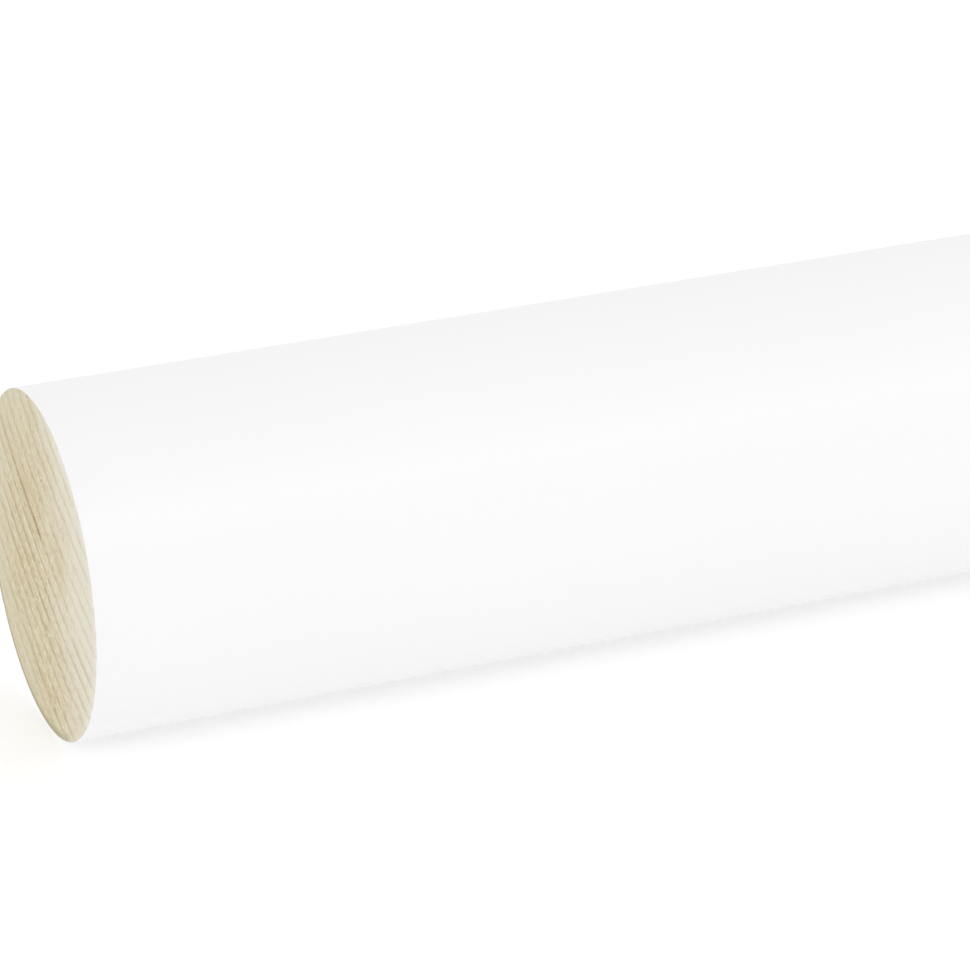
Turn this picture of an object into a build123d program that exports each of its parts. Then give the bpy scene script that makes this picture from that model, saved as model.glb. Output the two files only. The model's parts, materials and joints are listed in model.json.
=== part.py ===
from build123d import *
import os

# Round timber rod: one straight length of softwood, moulded to a round section and sawn square at both ends.
# The rod lies on the floor along X. The origin is on the floor, under the middle of the rod.

# Driving dimensions, in millimetres
rod_diameter = 34.0
rod_length = 1000.0
arris_break = 0.25  # depth of the narrow bevel that rubbing down leaves on each sawn edge


def moulded_blank():
    """The round section, run the full length of the rod along X, with its axis on the X axis."""
    section = Plane.YZ * Circle(rod_diameter / 2)
    return extrude(section, amount=rod_length / 2, both=True)


def round_rod():
    """The blank with the arris of each sawn end broken, lifted until its side touches the floor."""
    blank = moulded_blank()
    sawn_edges = blank.edges().filter_by(GeomType.CIRCLE)
    rod = chamfer(sawn_edges, length=arris_break)
    return Pos(Z=rod_diameter / 2) * rod


os.makedirs("parts", exist_ok=True)
export_step(round_rod(), "parts/round_rod.step")
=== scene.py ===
# %% [markdown]
# # A round timber rod, painted white
#
# The object is one length of softwood. A moulder planed it round, a painting line coated its side white,
# and a saw cut it to length, so both ends show bare wood. This lesson dresses the plain CAD rod: Geometry
# Nodes grow its skin and its sawn ends, two node materials give the paint and the end grain, and a pale
# studio with the photograph's camera shows the result.
#
# The frame comes first. It holds the CAD rod at its real size, in metres, and the later sizes are read
# from it.

# %% Load the frame
import json
import math

import bpy
from mathutils import Matrix, Vector


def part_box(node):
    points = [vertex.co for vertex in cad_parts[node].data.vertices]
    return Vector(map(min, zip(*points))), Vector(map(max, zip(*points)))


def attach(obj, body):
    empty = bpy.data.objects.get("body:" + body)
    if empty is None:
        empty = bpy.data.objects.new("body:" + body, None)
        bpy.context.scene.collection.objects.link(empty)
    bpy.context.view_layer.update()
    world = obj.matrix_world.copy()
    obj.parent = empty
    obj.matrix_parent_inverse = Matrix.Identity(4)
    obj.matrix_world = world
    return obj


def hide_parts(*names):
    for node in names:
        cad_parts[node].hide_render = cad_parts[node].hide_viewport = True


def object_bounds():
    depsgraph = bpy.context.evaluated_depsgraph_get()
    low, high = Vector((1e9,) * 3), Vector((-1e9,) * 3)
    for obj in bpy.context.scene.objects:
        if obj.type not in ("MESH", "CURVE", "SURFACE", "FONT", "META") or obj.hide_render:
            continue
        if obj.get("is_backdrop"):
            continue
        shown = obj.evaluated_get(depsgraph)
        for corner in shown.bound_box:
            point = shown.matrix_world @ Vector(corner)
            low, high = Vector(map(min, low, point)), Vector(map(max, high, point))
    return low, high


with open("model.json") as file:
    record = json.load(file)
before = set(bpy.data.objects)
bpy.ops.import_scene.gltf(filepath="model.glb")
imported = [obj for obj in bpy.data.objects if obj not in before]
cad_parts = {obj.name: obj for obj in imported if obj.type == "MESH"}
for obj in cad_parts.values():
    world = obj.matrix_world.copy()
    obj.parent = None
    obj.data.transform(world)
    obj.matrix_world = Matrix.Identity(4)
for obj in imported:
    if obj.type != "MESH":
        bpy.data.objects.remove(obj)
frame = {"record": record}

MM = 0.001
cad_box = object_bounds()
rod_low, rod_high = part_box("round_rod")
round_side = next(mount for mount in frame["record"]["mounts"] if mount["name"] == "round_side")
rod_length = rod_high[0] - rod_low[0]
rod_radius = round_side["dims"]["r_mm"] * MM
axis_height = round_side["pos_m"][2]
arris = (rod_length - round_side["dims"]["length_mm"] * MM) / 2
print(f"rod {rod_length / MM:.0f} mm long, {2 * rod_radius / MM:.1f} mm thick, arris {arris / MM:.2f} mm")

# %% [markdown]
# ## Writing nodes as sums
#
# Shaders and Geometry Nodes are both graphs. Linked by hand in a script, even a short formula takes a
# page, so two small classes do the linking. A Wire is one output socket, and a sum of wires adds the Math
# nodes for it. A Bench is a node tree with one method for any other node: its type, its settings, and
# then what goes into its sockets. The same two classes serve both kinds of tree, which lets one formula
# shape the wood and colour it.

# %% A wire
class Wire:
    """One output socket of a node, so that node maths can be written as ordinary sums."""

    def __init__(self, bench, socket):
        self.bench = bench
        self.socket = socket

    def other(self, name):
        """Another output of the same node."""
        return Wire(self.bench, self.socket.node.outputs[name])

    def __add__(self, value):
        return self.bench.math("ADD", self, value)

    def __radd__(self, value):
        return self.bench.math("ADD", value, self)

    def __sub__(self, value):
        return self.bench.math("SUBTRACT", self, value)

    def __rsub__(self, value):
        return self.bench.math("SUBTRACT", value, self)

    def __mul__(self, value):
        return self.bench.math("MULTIPLY", self, value)

    def __rmul__(self, value):
        return self.bench.math("MULTIPLY", value, self)

    def __truediv__(self, value):
        return self.bench.math("DIVIDE", self, value)

    def __rtruediv__(self, value):
        return self.bench.math("DIVIDE", value, self)

    def __gt__(self, value):
        return self.bench.math("GREATER_THAN", self, value)

    def __lt__(self, value):
        return self.bench.math("LESS_THAN", self, value)

    def __abs__(self):
        return self.bench.math("ABSOLUTE", self)


# %% A bench
class Bench:
    """A node tree, with one way to add a node to it."""

    def __init__(self, tree):
        self.tree = tree

    def add(self, kind, settings=None, sockets=None, output=0):
        """Adds a node of that type, sets it up, fills its sockets and returns one of its outputs."""
        node = self.tree.nodes.new(kind)
        for name, value in (settings or {}).items():
            setattr(node, name, value)
        for name, value in (sockets or {}).items():
            for one in value if isinstance(value, list) else [value]:
                if isinstance(one, Wire):
                    self.tree.links.new(one.socket, node.inputs[name])
                else:
                    node.inputs[name].default_value = one
        return Wire(self, node.outputs[output]) if node.outputs else None

    def math(self, operation, *values):
        return self.add("ShaderNodeMath", {"operation": operation}, dict(enumerate(values)))

    def between(self, share, none, full):
        """One value where the share is 0, another where it is full, and in proportion between them."""
        return share * (full - none) + none

    def ease(self, value, start, end):
        """0 before start and 1 after end, with a soft step between them."""
        sockets = {"Value": value, "From Min": start, "From Max": end}
        return self.add("ShaderNodeMapRange", {"interpolation_type": "SMOOTHSTEP"}, sockets)

    def noise(self, place, size, detail=2.0):
        """Soft noise from 0 to 1 with patches of about that size, in the units of the place."""
        return self.add("ShaderNodeTexNoise", sockets={"Vector": place, "Scale": 1 / size, "Detail": detail})

    def spots(self, place, spacing):
        """Scattered spots: how far off the nearest is, as a share of their spacing, and its own chance."""
        distance = self.add("ShaderNodeTexVoronoi", sockets={"Vector": place, "Scale": 1 / spacing})
        return distance, self.parts(distance.other("Color"))[0]

    def vector(self, x, y, z):
        return self.add("ShaderNodeCombineXYZ", sockets={"X": x, "Y": y, "Z": z})

    def parts(self, vector):
        """The X, Y and Z of a vector."""
        x = self.add("ShaderNodeSeparateXYZ", sockets={"Vector": vector})
        return x, x.other("Y"), x.other("Z")

    def stretch(self, vector, factors):
        """A vector with its X, Y and Z each multiplied by a factor."""
        return self.add("ShaderNodeVectorMath", {"operation": "MULTIPLY"}, {0: vector, 1: factors})


# %% [markdown]
# ## The log inside the rod
#
# The lines on the sawn end are growth rings. They are arcs about the pith of the log, and the pith lies
# well outside this rod, so they look almost straight. Within a ring the wood goes slowly from pale spring
# wood to a dark line of summer wood, and then jumps back to pale.
#
# Painted stripes would do for one picture. A rule for the whole log does more: the distance from the pith
# gives the ring, the rest follows, and both ends, the relief and the colour agree with each other.

# %% Directions in the log
pith_across = -45 * MM
pith_above_axis = 83 * MM
pith_distance = math.hypot(pith_across, pith_above_axis)


def log_place(bench, place):
    """The way along the rod, outwards from its axis as seen from the pith, and around along the ring."""
    along_rod, across, up = bench.parts(place)
    from_pith_across = across - pith_across
    from_pith_up = up - (axis_height + pith_above_axis)
    squares = from_pith_across * from_pith_across + from_pith_up * from_pith_up
    outwards = bench.math("SQRT", squares) - pith_distance
    around = bench.math("ARCTAN2", from_pith_across, from_pith_up) * pith_distance
    return along_rod, outwards, around


print(f"pith {pith_distance / MM:.0f} mm from the axis")

# %% Growth rings
ring_width = 2.06 * MM
ring_phase = 0.37
bend_size = 15 * MM
bend_height = 0.7 * MM
ragged_size = 0.8 * MM
ragged_height = 0.4 * MM


def growth_rings(bench, place):
    """What the log has at a place: the exact count of rings, the year, its summer and its spring wood."""
    outwards = log_place(bench, place)[1]
    bend = (bench.noise(place, bend_size) - 0.5) * bend_height
    ragged = (bench.noise(place, ragged_size) - 0.5) * ragged_height
    count = (outwards + bend + ragged) / ring_width + ring_phase
    year = bench.math("FLOOR", count)
    through = count - year
    summer = bench.ease(through, start=0.50, end=0.90) * (1 - bench.ease(through, start=0.93, end=1.0))
    spring = 1 - bench.ease(through, start=0.10, end=0.45)
    return {"count": count, "year": year, "summer": summer, "spring": spring}


print(f"about {2 * rod_radius / ring_width:.0f} rings across the rod")

# %% [markdown]
# ## Trees with named inputs
#
# Geometry Nodes suit this rod because its shape is a rule: a place on a flat grid gives an angle and a
# station, and those give a point in space. A mesh typed in by hand would have no sizes left to change.
# Each tree here has its sizes as named inputs, as a drawing has dimensions.

# %% Open and close a tree
SOCKET_TYPES = {float: "NodeSocketFloat", int: "NodeSocketInt", bpy.types.Material: "NodeSocketMaterial"}


def geometry_bench(name, inputs):
    """A new Geometry Nodes tree with those inputs and their values, and the wires of the inputs."""
    tree = bpy.data.node_groups.new(name, "GeometryNodeTree")
    tree.is_modifier = True
    for label, value in inputs.items():
        socket = tree.interface.new_socket(label, in_out="INPUT", socket_type=SOCKET_TYPES[type(value)])
        socket.default_value = value
    tree.interface.new_socket("Geometry", in_out="OUTPUT", socket_type="NodeSocketGeometry")
    bench = Bench(tree)
    first = bench.add("NodeGroupInput")
    return bench, {label: first.other(label) for label in inputs}


def input_names(tree):
    return [item.name for item in tree.interface.items_tree if item.in_out == "INPUT"]


def close_tree(bench, geometry):
    bench.add("NodeGroupOutput", sockets={"Geometry": geometry})
    names = input_names(bench.tree)
    print(f"tree {bench.tree.name}: {len(bench.tree.nodes)} nodes, {len(names)} inputs")
    return bench.tree


# %% [markdown]
# ## A map for textures
#
# Programs that can't read node materials take them as pictures, and for that each face needs its own
# place on a flat map. An automatic unwrap would cut the rod into many islands. The rod unrolls without
# one wrinkle, so its trees store the places themselves: the side fills the lower half of the map, the cut
# edges of the paint are two strips above it, and the sawn ends are two discs in the upper half.

# %% Places on the map
BAKE_MAP = "OFBake"
MAP_MARGIN = 0.005
MAP_SIDE_TOP = 0.48
MAP_STRIP_UP = 0.489
MAP_STRIP_HEIGHT = 0.004
MAP_DISC_RADIUS = 0.24
MAP_DISC_ASIDE = 0.25
MAP_DISC_UP = 0.75


def keep_map(bench, geometry, across, up):
    """Stores a place on the texture map for each corner of each face."""
    sockets = {"Geometry": geometry, "Name": BAKE_MAP, "Value": bench.vector(across, up, 0.0)}
    return bench.add("GeometryNodeStoreNamedAttribute", {"data_type": "FLOAT2", "domain": "CORNER"}, sockets)


def full_width(share):
    """A share from 0 to 1, fitted between the margins of the map."""
    return share * (1 - 2 * MAP_MARGIN) + MAP_MARGIN


# %% [markdown]
# ## The painted skin
#
# The side is a grid rolled into a tube. A moulder leaves a timber rod faintly uneven, and the paint
# follows it, so the tube's radius dips a few hundredths of a millimetre in long soft waves, and the hard
# summer wood stands a little proud under the film. A bump in the material would give the shading alone,
# while a moved point also changes the outline. The dips only go inwards, so the rod never outgrows its
# CAD solid.

# %% The radius of the painted side
waves_shorter_round = 2
grain_along_side = (0.02, 1.0, 1.0)


def skin_radius(bench, size, along, angle):
    """The radius at a station and an angle: the full radius, less soft waves and the low spring wood."""
    across = bench.math("COSINE", angle)
    up = bench.math("SINE", angle)
    wave = size["Wave Length"]
    wave_across = across * size["Radius"] / wave * waves_shorter_round
    wave_up = up * size["Radius"] / wave * waves_shorter_round
    waves = bench.noise(bench.vector(along / wave, wave_across, wave_up), size=1.0, detail=1.0)
    skin = bench.vector(along, across * size["Radius"], up * size["Radius"] + size["Axis Height"])
    rings = growth_rings(bench, bench.stretch(skin, grain_along_side))
    dip = waves * size["Wave Height"] + (1 - rings["summer"]) * size["Grain Height"]
    return size["Radius"] - dip, across, up


# %% The tree of the painted side
skin_sizes = {
    "Length": rod_length,
    "Radius": rod_radius,
    "Axis Height": axis_height,
    "Arris": arris,
    "Wave Height": 0.06 * MM,
    "Wave Length": 42 * MM,
    "Grain Height": 0.006 * MM,
    "Stations": 130,
    "Steps Round": 448,
}


def rolled_grid(bench, columns, rows):
    """A grid to roll up: its mesh, two wires from 0 to 1, along and round, and the same two for its map."""
    sockets = {"Size X": 1.0, "Size Y": 1.0, "Vertices X": columns + 1, "Vertices Y": rows + 1}
    grid = bench.add("GeometryNodeMeshGrid", sockets=sockets)
    along, round_it, _ = bench.parts(bench.add("GeometryNodeInputPosition"))
    map_along, map_round, _ = bench.parts(grid.other("UV Map"))
    return grid, along + 0.5, round_it + 0.5, map_along, map_round


def painted_side():
    bench, size = geometry_bench("Painted Side", skin_sizes)
    grid, along, round_it, map_along, map_round = rolled_grid(bench, size["Stations"], size["Steps Round"])
    map_up = map_round * (MAP_SIDE_TOP - MAP_MARGIN) + MAP_MARGIN
    grid = keep_map(bench, grid, full_width(map_along), map_up)
    station = (along - 0.5) * (size["Length"] - size["Arris"] * 2)
    angle = round_it * -math.tau
    radius, across, up = skin_radius(bench, size, station, angle)
    place = bench.vector(station, radius * across, radius * up + size["Axis Height"])
    side = bench.add("GeometryNodeSetPosition", sockets={"Geometry": grid, "Position": place})
    return close_tree(bench, side)


side_tree = painted_side()

# %% [markdown]
# ## The sawn edge
#
# Where the saw came through, the paint film shows its cut edge: a white line about a tenth of a
# millimetre wide, slightly ragged, between the paint and the wood. The arris is broken by a narrow bevel,
# so the film and the first of the wood lie on that bevel.
#
# The edge is one more rolled grid, only a few faces wide. It starts from the same radius as the side, so
# the two meet point for point, and it stops where the film ends. That line is given by its own short
# rule, because the wood has to start on it.

# %% The line where the paint film ends
edge_sizes = {
    **skin_sizes,
    "Film": 0.07 * MM,
    "Chips": 0.12 * MM,
    "Facing": 1.0,
    "Edge Rows": 3,
}
chips_in_radius = 9.0
ends_apart = 3.0


def film_line(bench, size, across, up):
    """The radius at which the paint film ends, ragged from chip to chip, and its depth on the bevel."""
    turn = bench.vector(size["Facing"] * ends_apart, across * chips_in_radius, up * chips_in_radius)
    sockets = {"Vector": turn, "Scale": 1.0, "Detail": 5.0, "Roughness": 0.7}
    chips = bench.add("ShaderNodeTexNoise", sockets=sockets)
    into = size["Film"] + (chips - 0.5) * size["Chips"]
    return size["Radius"] - into, size["Arris"] - into


# %% The tree of the painted edge
def painted_edge():
    bench, size = geometry_bench("Painted Edge", edge_sizes)
    grid, along, round_it, map_along, map_round = rolled_grid(bench, size["Edge Rows"], size["Steps Round"])
    map_up = map_along * MAP_STRIP_HEIGHT + size["Facing"] * MAP_STRIP_HEIGHT + MAP_STRIP_UP
    grid = keep_map(bench, grid, full_width(map_round), map_up)
    outwards = (along - 0.5) * size["Facing"] + 0.5
    side_end = size["Length"] / 2 - size["Arris"]
    angle = round_it * -math.tau
    side_radius, across, up = skin_radius(bench, size, side_end * size["Facing"], angle)
    line_radius, line_depth = film_line(bench, size, across, up)
    radius = side_radius + (line_radius - side_radius) * outwards
    station = side_end + (size["Arris"] - line_depth) * outwards
    place = bench.vector(station * size["Facing"], radius * across, radius * up + size["Axis Height"])
    edge = bench.add("GeometryNodeSetPosition", sockets={"Geometry": grid, "Position": place})
    return close_tree(bench, edge)


edge_tree = painted_edge()

# %% [markdown]
# ## What drying and sawing left
#
# In drying, one ring of the near end has opened a little into a short dark check: widest near the middle
# of the end, then a hair line along the ring. The saw left a mark too. Low on one side, where its teeth
# came out, they tore the last millimetre of the edge.
#
# Both are needed twice, as relief in the mesh and as colour on the wood, and that colour is painted
# shade, dark in the check and on the torn edge. A line drawn in one of them would have to be copied into
# the other, so each is a function that gives its share, from 0 to 1, at any place.

# %% A check along one ring
check_count = -1.0
check_tip = -0.85 * MM
check_widest = 1 * MM
check_hair_end = 14 * MM
check_hair = 0.35
check_core = 0.2


def ring_check(bench, place, count, width):
    """1 in the open check along one ring of the near end, 0 elsewhere, with soft sides and a soft tip."""
    along_rod, across, _ = bench.parts(place)
    near_end = along_rod < 0.0
    opening = bench.ease(across, check_tip - width, check_tip + width)
    closing = 1 - bench.ease(across, check_widest, check_hair_end)
    gape = bench.between(closing * closing, none=check_hair, full=1.0)
    aside = abs(count - check_count) * ring_width
    return near_end * opening * gape * (1 - bench.ease(aside, width * check_core, width))


print(f"check from {check_tip / MM:.1f} to {check_hair_end / MM:.0f} mm across the near end")

# %% The edge where the saw came out
exit_across = 0.55
exit_up = -0.83
exit_reach = 1.2 * MM


def saw_edge(bench, place):
    """Two shares along the edge of a sawn end: the torn side, where the saw came out, which is also painted
    in shade, and the clean rest.
    """
    _, across, up = bench.parts(place)
    lift = up - axis_height
    reach = bench.math("SQRT", across * across + lift * lift)
    edge = bench.ease(reach, rod_radius - exit_reach, rod_radius - arris)
    torn = bench.ease((across * exit_across + lift * exit_up) / reach, start=0.35, end=0.75)
    return edge * torn, edge * (1 - torn)


print(f"torn edge up to {exit_reach / MM:.1f} mm wide")

# %% [markdown]
# ## The sawn end
#
# The saw tears the soft spring wood a little deeper than the hard summer wood, and it leaves the short
# fibres rough. Both are a few hundredths of a millimetre, and both follow the growth rings.
#
# The end is a disc, and a fan of triangles about one point would make needles in the middle and coarse
# faces at the rim. A square grid pressed into a circle keeps its faces even. Each square ring of the grid
# becomes a round one, and the outermost has as many points as the paint has round the rod, so the two
# close up.

# %% The relief of the saw cut
end_sizes = {
    **edge_sizes,
    "Cells": 112,
    "Ring Relief": 0.06 * MM,
    "Fibre Relief": 0.08 * MM,
    "Check Depth": 0.25 * MM,
    "Check Width": 0.6 * MM,
    "Edge Tear": 0.08 * MM,
}
rough_size = 0.7 * MM


def cut_depth(bench, size, spot):
    """How deep the wood lies under the end plane: torn spring wood, rough fibres, the check and the edge."""
    rings = growth_rings(bench, spot)
    fibres = bench.noise(spot, rough_size, detail=3.0)
    torn = (1 - rings["summer"]) * size["Ring Relief"] + fibres * size["Fibre Relief"]
    torn = torn + ring_check(bench, spot, rings["count"], size["Check Width"]) * size["Check Depth"]
    return torn + saw_edge(bench, spot)[0] * size["Edge Tear"]


# %% A square pressed into a disc
def square_to_disc(bench, u, v):
    """A place in the square from -1 to 1, moved into the circle: its reach, and its direction."""
    wide = abs(u) > abs(v)
    tall = 1 - wide
    reach = wide * u + tall * v
    turn = (wide * (v / u) + tall * (u / v)) * (math.pi / 4)
    cosine = bench.math("COSINE", turn)
    sine = bench.math("SINE", turn)
    sign = bench.math("SIGN", reach)
    across = (wide * cosine + tall * sine) * sign
    up = (wide * sine + tall * cosine) * sign
    return abs(reach), across, up


# %% The tree of the sawn end
SAWN_MARK = "sawn"
RIM_REACH = 0.999


def marked_disc(bench, size, disc):
    """The disc with its places on the texture map, and with the mark that its faces are bare wood."""
    _, across, up = bench.parts(bench.add("GeometryNodeInputPosition"))
    map_across = across / size["Radius"] * MAP_DISC_RADIUS + size["Facing"] * MAP_DISC_ASIDE + 0.5
    map_up = (up - size["Axis Height"]) / size["Radius"] * MAP_DISC_RADIUS + MAP_DISC_UP
    disc = keep_map(bench, disc, map_across, map_up)
    sockets = {"Geometry": disc, "Name": SAWN_MARK, "Value": True}
    return bench.add("GeometryNodeStoreNamedAttribute", {"data_type": "BOOLEAN", "domain": "FACE"}, sockets)


def sawn_end():
    """A disc that is flat as far as the bevel, with its outermost points on the line of the paint film."""
    bench, size = geometry_bench("Sawn End", end_sizes)
    points = size["Cells"] + 1
    sockets = {"Size X": 2.0, "Size Y": 2.0, "Vertices X": points, "Vertices Y": points}
    grid = bench.add("GeometryNodeMeshGrid", sockets=sockets)
    u, v, _ = bench.parts(bench.add("GeometryNodeInputPosition"))
    reach, across, up = square_to_disc(bench, u * size["Facing"], v)
    rim = reach > RIM_REACH
    line_radius, line_depth = film_line(bench, size, across, up)
    flat_reach = 1 - 2.0 / size["Cells"]
    flat_radius = reach / flat_reach * (size["Radius"] - size["Arris"])
    radius = rim * line_radius + (1 - rim) * flat_radius
    end_plane = size["Length"] / 2 * size["Facing"]
    spot = bench.vector(end_plane, radius * across, radius * up + size["Axis Height"])
    depth = rim * line_depth + (1 - rim) * cut_depth(bench, size, spot)
    station = end_plane - depth * size["Facing"]
    place = bench.vector(station, radius * across, radius * up + size["Axis Height"])
    disc = bench.add("GeometryNodeSetPosition", sockets={"Geometry": grid, "Position": place})
    return close_tree(bench, marked_disc(bench, size, disc))


end_tree = sawn_end()

# %% [markdown]
# ## Colours and materials
#
# A colour is easiest to judge as a screen shows it, from 0 to 255, while shaders reckon in linear light,
# so one function turns the first into the second. Both of the rod's materials are built alike: masks from
# 0 to 1 mix one colour after another into the first, and a height in metres goes through a Bump node, so
# that the finest relief is real-sized too.

# %% Helpers for the two materials
MIX_FIRST = 6
MIX_SECOND = 7
MIX_COLOUR = 2


def screen_colour(red, green, blue):
    """A colour as it is read on a screen, from 0 to 255, turned into the linear colour that shaders take."""
    def linear(value):
        share = value / 255
        return share / 12.92 if share <= 0.04045 else ((share + 0.055) / 1.055) ** 2.4
    return (linear(red), linear(green), linear(blue), 1.0)


def material_bench(name):
    """A new empty material, its bench and the place on the piece, in the frame's metres."""
    material = bpy.data.materials.new(name)
    material.use_nodes = True
    material.node_tree.nodes.clear()
    bench = Bench(material.node_tree)
    return material, bench, bench.add("ShaderNodeTexCoord", output="Object")


def tint(bench, base, colour, share, most=1.0):
    """A base with a colour mixed into it: none where the share is 0, and the most where it is 1."""
    sockets = {"Factor": share * most, MIX_FIRST: base, MIX_SECOND: colour}
    return bench.add("ShaderNodeMix", {"data_type": "RGBA"}, sockets, output=MIX_COLOUR)


def close_material(bench, material, height, sockets):
    """Ends a material in one shader with those sockets, and with a bump of that height in metres."""
    normal = bench.add("ShaderNodeBump", sockets={"Distance": 1.0, "Height": height})
    shader = bench.add("ShaderNodeBsdfPrincipled", sockets={**sockets, "Normal": normal})
    bench.add("ShaderNodeOutputMaterial", sockets={"Surface": shader})
    print(f"material {material.name}: {len(bench.tree.nodes)} nodes")
    return material


# %% [markdown]
# ## White paint
#
# The side has a factory coat of white satin paint. It is neutral, and so pale that only its gloss and its
# slight unevenness show: a fine orange-peel from spraying, the grain faintly raised under the film, and
# here and there a speck of dust caught in it.
#
# One Principled shader is enough. Its colour and roughness drift a little over the rod, and the bump adds
# the texture, which is far too fine to be worth a face each.

# %% White satin paint
DULL_WHITE = screen_colour(245, 245, 245)
BRIGHT_WHITE = screen_colour(247, 247, 247)
drift_size = 35 * MM
drift_roughness = 0.08
streak_size = 0.7 * MM
streak_height = 2e-3 * MM
streak_roughness = 0.05
streaks_along_side = (0.03, 1.0, 1.0)
peel_size = 1.3 * MM
peel_height = 4e-3 * MM
dust_spacing = 9 * MM
dust_height = 0.02 * MM
largest_dust = 0.03
smallest_spot = 0.001
satin_roughness = 0.30


def white_paint():
    material, bench, place = material_bench("white_satin_paint")
    drift = bench.noise(place, drift_size)
    streaks = bench.noise(bench.stretch(place, streaks_along_side), streak_size, detail=3.0)
    peel = bench.noise(place, peel_size, detail=1.0)
    distance, chance = bench.spots(place, dust_spacing)
    dust_size = chance * chance * largest_dust + smallest_spot
    dust = 1 - bench.ease(distance / dust_size, start=0.3, end=1.0)
    height = peel * peel_height + streaks * streak_height + dust * dust_height
    return close_material(bench, material, height, {
        "Base Color": tint(bench, DULL_WHITE, BRIGHT_WHITE, drift),
        "Roughness": drift * drift_roughness + streaks * streak_roughness + satin_roughness,
    })


paint = white_paint()

# %% [markdown]
# ## Bare end grain: the broad colour
#
# Sawn across, softwood is a pale straw colour. On this end it is warm in the middle, with honey-coloured
# patches, much paler towards one side, and dry and greyish towards the other side and the rim.
#
# These zones have no outline, so they aren't worth a drawn map. Each is a slope across the end that a
# soft cloud of noise breaks up. The later steps read them again, because fresh wood also shows its grain
# more.

# %% The zones of the end
pale_side = -0.96
pale_lift = 0.18
pale_rim = 0.12
dry_side = 0.88
dry_rim = 0.55
cloud_size = 6 * MM
cloud_reach = 0.7
honey_size = 5 * MM
honey_along_ring = 0.6


def along_rings(bench, end, shrink):
    """A place in the log's own directions, shrunk along the rings, so that noise is drawn out along them."""
    return bench.vector(end["along_rod"], end["outwards"], end["around"] * shrink)


def end_zones(bench, place):
    """All that the steps below read at a place: the log's directions, its rings and the zones of the end."""
    end = {"place": place, **growth_rings(bench, place)}
    end["along_rod"], end["outwards"], end["around"] = log_place(bench, place)
    _, across, up = bench.parts(place)
    side = across / rod_radius
    lift = (up - axis_height) / rod_radius
    cloud = bench.noise(place, cloud_size) * cloud_reach
    towards_pale = lift * pale_lift + lift * lift * pale_rim + side * pale_side
    towards_dry = side * dry_side + lift * lift * dry_rim
    end["pale"] = bench.ease(towards_pale + cloud, start=0.36, end=1.12)
    end["dry"] = bench.ease(towards_dry + cloud, start=0.50, end=1.35)
    end["fresh"] = (1 - end["pale"]) * (1 - end["dry"])
    honey = bench.noise(along_rings(bench, end, honey_along_ring), honey_size)
    end["honey"] = bench.ease(honey, start=0.45, end=0.75)
    return end


# %% The broad colour
WARM_WOOD = screen_colour(216, 204, 172)
PALE_WOOD = screen_colour(229, 223, 206)
DRY_WOOD = screen_colour(217, 211, 188)
HONEY_WOOD = screen_colour(207, 190, 154)


def broad_colour(bench, end):
    wood = tint(bench, WARM_WOOD, PALE_WOOD, end["pale"])
    wood = tint(bench, wood, DRY_WOOD, end["dry"], most=0.8)
    return tint(bench, wood, HONEY_WOOD, end["honey"] * end["fresh"], most=0.7)


# %% [markdown]
# ## Bare end grain: the lines of the years
#
# Thin darker lines of summer wood cross the end, each with a band of paler spring wood behind it. Even
# stripes would look printed. Some years are stronger than others, the youngest, near the bark, are faint,
# and along its ring a line comes and goes.
#
# White Noise gives each year a number of its own, and its strength comes from that.

# %% Summer lines and spring bands
SUMMER_WOOD = screen_colour(178, 160, 123)
SPRING_WOOD = screen_colour(233, 226, 206)
young_start = 8 * MM
young_end = 15 * MM
gap_size = 1.3 * MM
gap_along_ring = 0.35


def ring_lines(bench, end, wood):
    """The wood with the lines and bands of its years, and the share of the dark lines."""
    mid_year = end["year"] + 0.5
    chance = bench.add("ShaderNodeTexWhiteNoise", {"noise_dimensions": "1D"}, {"W": mid_year})
    young = bench.ease(end["outwards"], young_start, young_end)
    strength = bench.between(chance, none=0.40, full=0.85)
    strength = strength * bench.between(end["fresh"], none=0.5, full=1.0)
    strength = strength * bench.between(young, none=1.0, full=0.5)
    whole = bench.ease(bench.noise(along_rings(bench, end, gap_along_ring), gap_size), start=0.22, end=0.60)
    line = end["summer"] * strength * whole
    wood = tint(bench, wood, SUMMER_WOOD, line)
    return tint(bench, wood, SPRING_WOOD, end["spring"] * strength, most=0.35), line


# %% [markdown]
# ## Bare end grain: the ends of the fibres
#
# Up close the end is rough with the cut ends of the fibres: short hollows and ridges, drawn out a little
# along the rings, and a few tips where the saw pulled a fibre up. There are many thousands, far too
# many for modelled hairs. One noise gives both, its peaks the hollows and its troughs the ridges, and
# scattered spots give the tips. The bump shapes them, and their colour is painted light: painted shade
# in the hollows, painted highlights on the ridges and the tips.

# %% Painted shade in the hollows, painted highlights on the ridges and tips
HOLLOW_SHADE = screen_colour(176, 160, 124)
RIDGE_HIGHLIGHT = screen_colour(239, 232, 212)
TIP_HIGHLIGHT = screen_colour(247, 240, 222)
fibre_size = 0.28 * MM
fibre_along_ring = 0.45
tip_spacing = 1.1 * MM
largest_tip = 0.22


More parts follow.
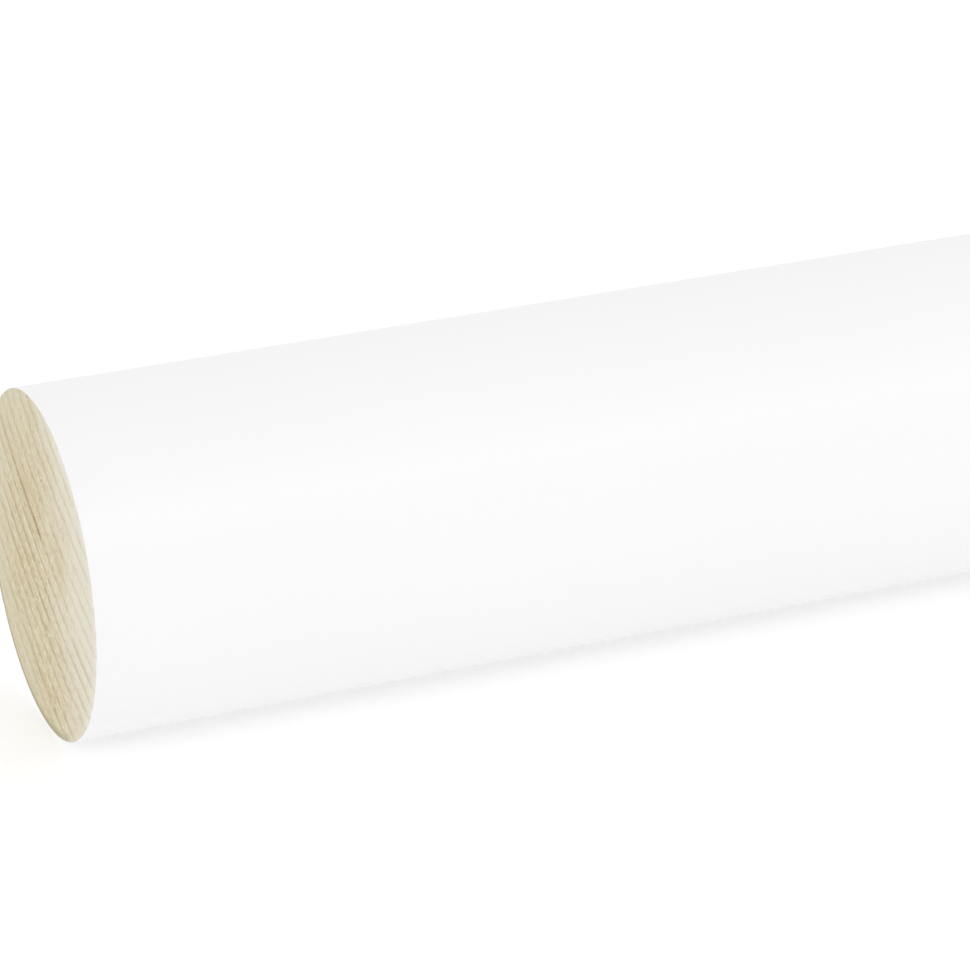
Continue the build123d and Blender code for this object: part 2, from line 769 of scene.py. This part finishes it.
def shaded_fibre_ends(bench, end, wood):
    """The wood with painted shade in the fibre hollows and painted highlights on the ridges and the tips,
    and the shares of the hollows and the tips.
    """
    spot = along_rings(bench, end, fibre_along_ring)
    rough = bench.between(end["fresh"], none=0.3, full=1.0)
    hollows = bench.noise(spot, fibre_size, detail=3.0)
    # painted shade: the wood darkened where the noise makes hollows
    wood = tint(bench, wood, HOLLOW_SHADE, bench.ease(hollows, start=0.50, end=0.78) * rough, most=0.8)
    # painted highlight: the wood lightened on the ridges between the hollows
    wood = tint(bench, wood, RIDGE_HIGHLIGHT, bench.ease(1 - hollows, start=0.52, end=0.76) * rough, most=0.8)
    distance, chance = bench.spots(spot, tip_spacing)
    tip_size = chance * largest_tip + smallest_spot
    tips = 1 - bench.ease(distance / tip_size, start=0.5, end=1.0)
    # painted highlight: pale spots on the raised fibre tips
    return tint(bench, wood, TIP_HIGHLIGHT, tips * rough, most=0.9), hollows, tips


# %% [markdown]
# ## Bare end grain: the check and the edge
#
# The torn edge, where the saw came out low on the end, is painted in shade, a dull grey-brown. On the
# pale side a little white paint is smeared over the clean edge, caught by the roughest fibres only.
#
# All four read the functions that also cut the relief, so the colour lies exactly in its own groove.

# %% Stain, check shadow, painted shade on the torn edge, and smeared paint
RESIN_STAIN = screen_colour(207, 186, 148)
CHECK_SHADOW = screen_colour(146, 122, 86)
TORN_EDGE_SHADE = screen_colour(178, 170, 141)
PAINT_SMEAR = screen_colour(235, 233, 226)
stain_rings_aside = 0.6
stain_width = 3.5 * MM
shadow_width = 0.5 * MM


def saw_and_check(bench, end, wood, hollows):
    stain = ring_check(bench, end["place"], end["count"] + stain_rings_aside, stain_width)
    wood = tint(bench, wood, RESIN_STAIN, stain * bench.between(end["honey"], none=0.3, full=0.7))
    shadow = ring_check(bench, end["place"], end["count"], shadow_width)
    wood = tint(bench, wood, CHECK_SHADOW, shadow, most=0.85)
    torn_edge_shade, clean_edge = saw_edge(bench, end["place"])
    # painted shade: the torn low edge of the end darkened to grey-brown
    wood = tint(bench, wood, TORN_EDGE_SHADE, torn_edge_shade, most=0.9)
    smear = clean_edge * end["pale"] * bench.ease(hollows, start=0.30, end=0.60)
    return tint(bench, wood, PAINT_SMEAR, smear, most=0.6)


# %% Sawn end grain
summer_height = 0.03 * MM
hollow_depth = 0.08 * MM
tip_height = 0.05 * MM
sawn_roughness = 0.90
summer_roughness = 0.75
wood_specular = 0.25


def end_grain():
    material, bench, place = material_bench("sawn_end_grain")
    end = end_zones(bench, place)
    wood, line = ring_lines(bench, end, broad_colour(bench, end))
    wood, hollows, tips = shaded_fibre_ends(bench, end, wood)
    height = end["summer"] * summer_height - hollows * hollow_depth + tips * tip_height
    return close_material(bench, material, height, {
        "Base Color": saw_and_check(bench, end, wood, hollows),
        "Roughness": bench.between(line, none=sawn_roughness, full=summer_roughness),
        "Specular IOR Level": wood_specular,
    })


bare_wood = end_grain()

# %% [markdown]
# ## Putting the rod together
#
# The last tree joins one side, two edges and two ends, and merges the points where they meet, so that the
# rod is one closed skin, as the real one is. Loose pieces laid edge to edge would show a seam in the
# light. The faces are smooth, apart from the edges of the bevel, which are sharp because they turn by a
# large angle. Then the materials go on, by the mark that the sawn ends carry.
#
# A modifier runs the tree, its result is kept as a plain mesh, the CAD solid that it stands for is
# hidden, and the mesh is attached to the rod's body.

# %% The tree of the whole rod
merge_distance = 0.003 * MM
sharp_angle = math.radians(28)
rod_inputs = {**end_sizes, "Paint": paint, "Bare Wood": bare_wood}
del rod_inputs["Facing"]


def whole_rod():
    bench, size = geometry_bench("Round Rod", rod_inputs)

    def part(tree, **own):
        """One of the trees above as a node, with the rod's sizes and its own inputs."""
        shared = {name: size[name] for name in input_names(tree) if name in size}
        return bench.add("GeometryNodeGroup", {"node_tree": tree}, {**shared, **own})

    pieces = [part(side_tree)]
    for facing in (-1.0, 1.0):
        pieces += [part(edge_tree, Facing=facing), part(end_tree, Facing=facing)]
    rod = bench.add("GeometryNodeJoinGeometry", sockets={"Geometry": pieces})
    rod = bench.add("GeometryNodeMergeByDistance", sockets={"Geometry": rod, "Distance": merge_distance})
    rod = bench.add("GeometryNodeSetShadeSmooth", sockets={"Geometry": rod, "Shade Smooth": True})
    sharp = bench.add("GeometryNodeInputMeshEdgeAngle") > sharp_angle
    sockets = {"Geometry": rod, "Selection": sharp, "Shade Smooth": False}
    rod = bench.add("GeometryNodeSetShadeSmooth", {"domain": "EDGE"}, sockets)
    rod = bench.add("GeometryNodeRealizeInstances", sockets={"Geometry": rod})
    rod = bench.add("GeometryNodeSetMaterial", sockets={"Geometry": rod, "Material": size["Paint"]})
    sawn = bench.add("GeometryNodeInputNamedAttribute", {"data_type": "BOOLEAN"}, {"Name": SAWN_MARK})
    sockets = {"Geometry": rod, "Selection": sawn, "Material": size["Bare Wood"]}
    return close_tree(bench, bench.add("GeometryNodeSetMaterial", sockets=sockets))


rod_tree = whole_rod()


# %% The finished mesh
def grown_piece(name, tree):
    """Runs a tree on an empty object and keeps what it makes as that object's own plain mesh."""
    piece = bpy.data.objects.new(name, bpy.data.meshes.new(name))
    bpy.context.scene.collection.objects.link(piece)
    modifier = piece.modifiers.new(tree.name, "NODES")
    modifier.node_group = tree
    for item in tree.interface.items_tree:
        if item.in_out == "INPUT":
            modifier[item.identifier] = item.default_value
    graph = bpy.context.evaluated_depsgraph_get()
    mesh = bpy.data.meshes.new_from_object(piece.evaluated_get(graph))
    piece.modifiers.remove(modifier)
    piece.data = mesh
    mesh.name = name
    return piece


rod = grown_piece("painted_rod", rod_tree)
triangles = sum(len(face.vertices) - 2 for face in rod.data.polygons)
print(f"painted_rod: {len(rod.data.vertices)} points, {triangles} triangles")

# %% Hand the rod to the frame
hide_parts("round_rod")
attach(rod, "root")

# %% [markdown]
# ## A pale studio
#
# The photograph shows the rod on plain white, evenly lit from all round, its underside too. White goods
# are often photographed like this on a light table, a pane of opal glass that glows. The floor here is
# one: part of its white is its own glow, and the rest is the light that falls on it, so the rod still
# throws a pale shadow.
#
# As sources of light, the table and the world around are a little dimmer than white, because a white rod
# would otherwise vanish. Only where the camera or a reflection sees them are they plain white.

# %% Light table and world
FLOOR_SIZE = 80.0
PLAIN_WHITE = (1.0, 1.0, 1.0, 1.0)
world_light = 0.89
table_white = 0.60
table_light = 0.42
table_seen = 1 - table_white * world_light


def light_or_seen(bench, light, seen):
    """One strength as a source of light, and another where the camera, a reflection or glass shows it."""
    path = bench.add("ShaderNodeLightPath", output="Is Camera Ray")
    direct = bench.math("MAXIMUM", path, path.other("Is Glossy Ray"))
    direct = bench.math("MAXIMUM", direct, path.other("Is Transmission Ray"))
    return bench.between(direct, none=light, full=seen)


def light_table():
    half = FLOOR_SIZE / 2
    corners = [(-half, -half, 0), (half, -half, 0), (half, half, 0), (-half, half, 0)]
    mesh = bpy.data.meshes.new("light_table")
    mesh.from_pydata(corners, [], [range(len(corners))])
    table = bpy.data.objects.new("light_table", mesh)
    bpy.context.scene.collection.objects.link(table)
    material, bench, _ = material_bench("opal_glass")
    opal = (table_white, table_white, table_white, 1.0)
    white = bench.add("ShaderNodeBsdfDiffuse", sockets={"Color": opal})
    strength = light_or_seen(bench, table_light, table_seen)
    glow = bench.add("ShaderNodeEmission", sockets={"Strength": strength})
    surface = bench.add("ShaderNodeAddShader", sockets={0: white, 1: glow})
    bench.add("ShaderNodeOutputMaterial", sockets={"Surface": surface})
    mesh.materials.append(material)
    table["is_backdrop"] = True


def white_world():
    world = bpy.data.worlds.new("white_world")
    world.use_nodes = True
    world.node_tree.nodes.clear()
    bench = Bench(world.node_tree)
    strength = light_or_seen(bench, world_light, 1.0)
    surface = bench.add("ShaderNodeBackground", sockets={"Color": PLAIN_WHITE, "Strength": strength})
    bench.add("ShaderNodeOutputWorld", sockets={"Surface": surface})
    bpy.context.scene.world = world


light_table()
white_world()
bpy.context.scene.view_settings.view_transform = "Standard"
print(f"light table: white {table_white:.2f}, glow {table_light:.2f} as light and {table_seen:.2f} as seen")

# %% [markdown]
# ## Soft light
#
# The highlight on the rod runs along its front, a little above the middle, so the main light is a long
# soft box in front of the rod and parallel to it. A small lamp would draw a hard thin line there. Two
# smaller boxes, off to the left and the right, light the sawn ends.

# %% Softboxes
front_place = (0.0, -1.15, 1.15)
front_size = (2.4, 0.5)
front_watts = 3.2
beside_rod = 1.7
end_box_front = -0.5
end_box_height = 0.8
end_box_size = (0.7, 0.7)
end_box_watts = 1.3


def softbox(name, place, target, size, watts):
    """A rectangular area light, with its long side level, that faces a target."""
    light = bpy.data.lights.new(name, "AREA")
    light.shape = "RECTANGLE"
    light.size, light.size_y = size
    light.energy = watts
    lamp = bpy.data.objects.new(name, light)
    lamp.visible_camera = False
    bpy.context.scene.collection.objects.link(lamp)
    lamp.location = place
    towards = Vector(target) - Vector(place)
    lamp.rotation_euler = towards.to_track_quat("-Z", "Y").to_euler()
    print(f"{name}: {watts} W, {towards.length:.2f} m away")


softbox("front_softbox", front_place, (0.0, 0.0, axis_height), front_size, front_watts)
for name, side in {"near_end_softbox": -1, "far_end_softbox": 1}.items():
    place = (side * beside_rod, end_box_front, end_box_height)
    rod_end = (side * rod_length / 2, 0.0, axis_height)
    softbox(name, place, rod_end, end_box_size, end_box_watts)

# %% [markdown]
# ## The photograph's camera
#
# A long lens looks down on the rod's near end from the left. The end's outline in the photograph is an
# ellipse, and with the two edges of the rod it fixes the angle, the lens and the distance. A camera moved
# by eye would only come close. The picture's pixels are the measure here, and the rod's radius gives the
# scale.

# %% Camera
PHOTO_WIDTH = 970
PHOTO_HEIGHT = 971
SENSOR_WIDTH = 36.0
CLIP_START = 10 * MM
focal_pixels = 4574.0
end_pixel = (38.8, 565.7)
end_depth = 25.356 * rod_radius
camera_elevation = math.radians(25.14)
camera_azimuth = math.radians(-22.39)


def photo_camera():
    forward = Vector((
        -math.sin(camera_azimuth) * math.cos(camera_elevation),
        math.cos(camera_azimuth) * math.cos(camera_elevation),
        -math.sin(camera_elevation),
    ))
    right = forward.cross(Vector((0, 0, 1))).normalized()
    up = right.cross(forward)
    aside = (end_pixel[0] - PHOTO_WIDTH / 2) / focal_pixels
    below = (end_pixel[1] - PHOTO_HEIGHT / 2) / focal_pixels
    near_end = Vector((-rod_length / 2, 0.0, axis_height))
    data = bpy.data.cameras.new("photo_camera")
    data.sensor_width = SENSOR_WIDTH
    data.lens = focal_pixels * SENSOR_WIDTH / max(PHOTO_WIDTH, PHOTO_HEIGHT)
    data.clip_start = CLIP_START
    camera = bpy.data.objects.new("photo_camera", data)
    bpy.context.scene.collection.objects.link(camera)
    turn = Matrix((right, up, -forward)).transposed().to_4x4()
    place = near_end - (forward + right * aside - up * below) * end_depth
    camera.matrix_world = Matrix.Translation(place) @ turn
    bpy.context.scene.camera = camera
    print(f"camera {place[0]:.3f} {place[1]:.3f} {place[2]:.3f} m, lens {data.lens:.1f} mm")


photo_camera()

# %% [markdown]
# ## The size at the end
#
# Other parts are fitted to the CAD rod, so its dress must not make it larger. The frame measures the
# dressed rod, and both boxes are printed, the one from the start and this one.

# %% Print both sizes, and finish
boxes = {"cad": cad_box, "visual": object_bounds()}
for name, (low, high) in boxes.items():
    print(name, "box", " x ".join(f"{(end - start) / MM:.2f}" for start, end in zip(low, high)), "mm")
